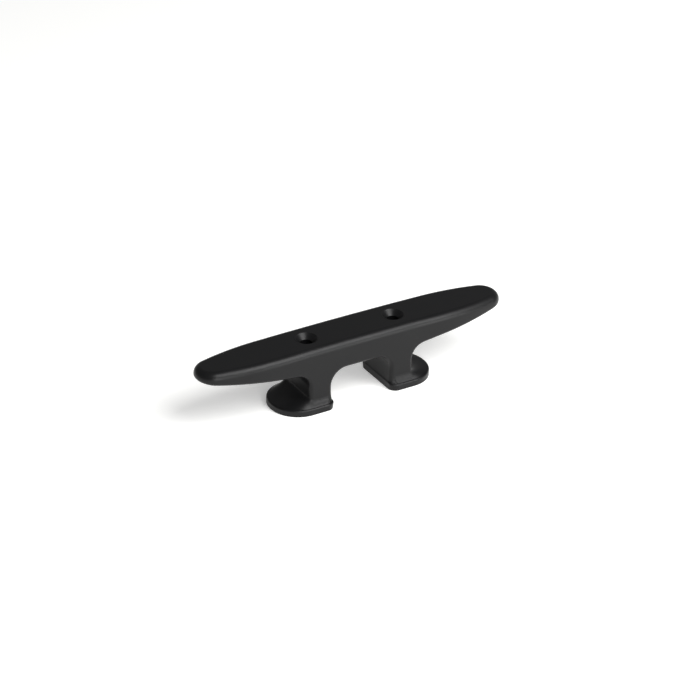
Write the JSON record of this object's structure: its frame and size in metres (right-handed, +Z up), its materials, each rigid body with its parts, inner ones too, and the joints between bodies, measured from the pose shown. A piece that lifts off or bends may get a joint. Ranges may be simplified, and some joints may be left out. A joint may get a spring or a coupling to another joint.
{
  "type": "cleat",
  "caption": "Moulded black nylon horn cleat: a slim bar with rounded horns on short legs with flared feet, an open arch between them and countersunk screw holes.",
  "frame": {"origin": "middle of the footprint, on the mounting face under the feet", "axes": "+X along the bar towards one horn, +Y across the bar, +Z up from the deck"},
  "size_m": [0.1498, 0.0268, 0.0301],
  "materials": {
    "nylon": "black moulded nylon with a fine, satin moulded texture"
  },
  "bodies": {
    "root": {"cleat_body": "nylon"}
  },
  "joints": []
}
